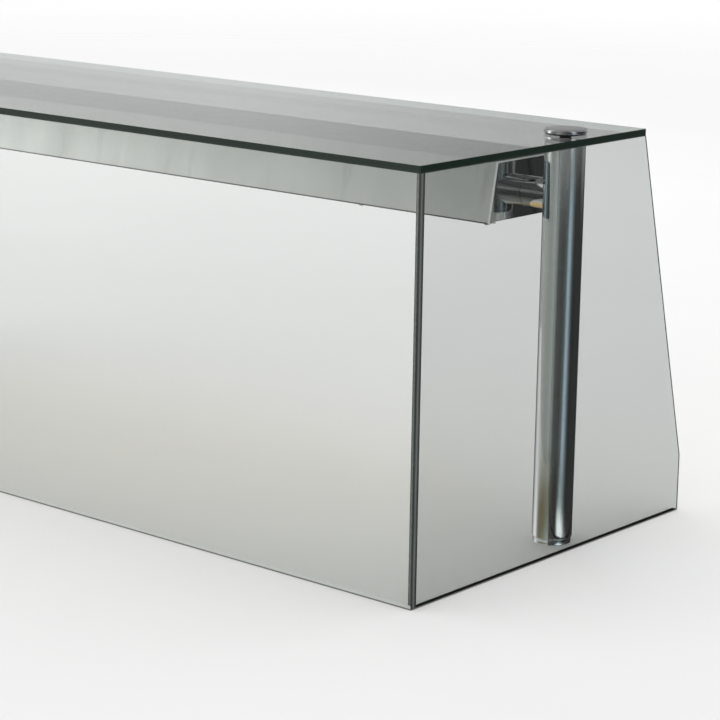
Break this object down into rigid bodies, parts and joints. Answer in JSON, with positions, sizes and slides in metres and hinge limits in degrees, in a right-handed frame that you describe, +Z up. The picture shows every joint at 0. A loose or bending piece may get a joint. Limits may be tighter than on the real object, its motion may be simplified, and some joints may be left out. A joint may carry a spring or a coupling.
{
  "type": "sneeze guard",
  "caption": "Square-fronted glass sneeze guard on round posts, with a tubular-lamp canopy hung between them under the top glass; the posts fix to a worktop.",
  "frame": {"origin": "on the worktop plane, at the middle of the guard's footprint", "axes": "+X along the counter, +Y from the customer's side to the server's side, +Z up"},
  "size_m": [1.5, 0.55, 0.5166],
  "materials": {
    "clear_glass": "clear float glass, polished edges",
    "seal": "grey silicone",
    "polished_steel": "polished stainless",
    "satin_steel": "satin stainless",
    "plain_steel": "plain zinc plated or stainless",
    "dark_nylon": "black nylon",
    "white_paint": "white enamel",
    "white_plastic": "white moulded plastic",
    "lamp_glass": "white phosphor behind glass",
    "cap_metal": "plain aluminium",
    "clear_sleeve": "clear polycarbonate",
    "black_lead": "black sheath"
  },
  "bodies": {
    "guard": {"top_glass": "clear_glass", "front_glass": "clear_glass", "end_glass_right": "clear_glass", "end_glass_left": "clear_glass", "front_seal": "seal", "end_seal_right": "seal", "end_seal_left": "seal", "post_tube_right": "polished_steel", "post_tube_left": "polished_steel", "post_base_right": "polished_steel", "post_base_left": "polished_steel", "post_cap_right": "polished_steel", "post_cap_left": "polished_steel", "stub_right": "polished_steel", "stub_left": "polished_steel", "canopy_end_right": "polished_steel", "canopy_end_left": "polished_steel", "canopy_hood": "satin_steel", "post_plug_right": "plain_steel", "post_plug_left": "plain_steel", "canopy_bolt_right": "plain_steel", "canopy_bolt_left": "plain_steel", "canopy_washer_right": "plain_steel", "canopy_washer_left": "plain_steel", "end_screw_1": "plain_steel", "end_screw_2": "plain_steel", "end_screw_3": "plain_steel", "end_screw_4": "plain_steel", "reflector_screw_1": "plain_steel", "reflector_screw_2": "plain_steel", "reflector_screw_3": "plain_steel", "reflector_screw_4": "plain_steel", "ballast_screw_left": "plain_steel", "ballast_screw_right": "plain_steel", "glass_gasket_right": "dark_nylon", "glass_gasket_left": "dark_nylon", "glass_bush_right": "dark_nylon", "glass_bush_left": "dark_nylon", "cap_washer_right": "dark_nylon", "cap_washer_left": "dark_nylon", "reflector": "white_paint", "ballast": "white_paint", "terminal_block": "white_plastic", "lampholder_right": "white_plastic", "lampholder_left": "white_plastic", "lead_left": "black_lead", "lead_right": "black_lead", "lead_mains": "black_lead"},
    "lamp": {"lamp_tube": "lamp_glass", "lamp_sleeve": "clear_sleeve", "lamp_cap_right": "cap_metal", "lamp_cap_left": "cap_metal", "rotor_right": "white_plastic", "rotor_left": "white_plastic"}
  },
  "joints": [
    {"name": "lamp_turn", "type": "hinge", "parent": "guard", "child": "lamp", "pos_m": [0, 0.054, 0.424], "axis": [1, 0, 0], "range_deg": [0, 90]}
  ]
}
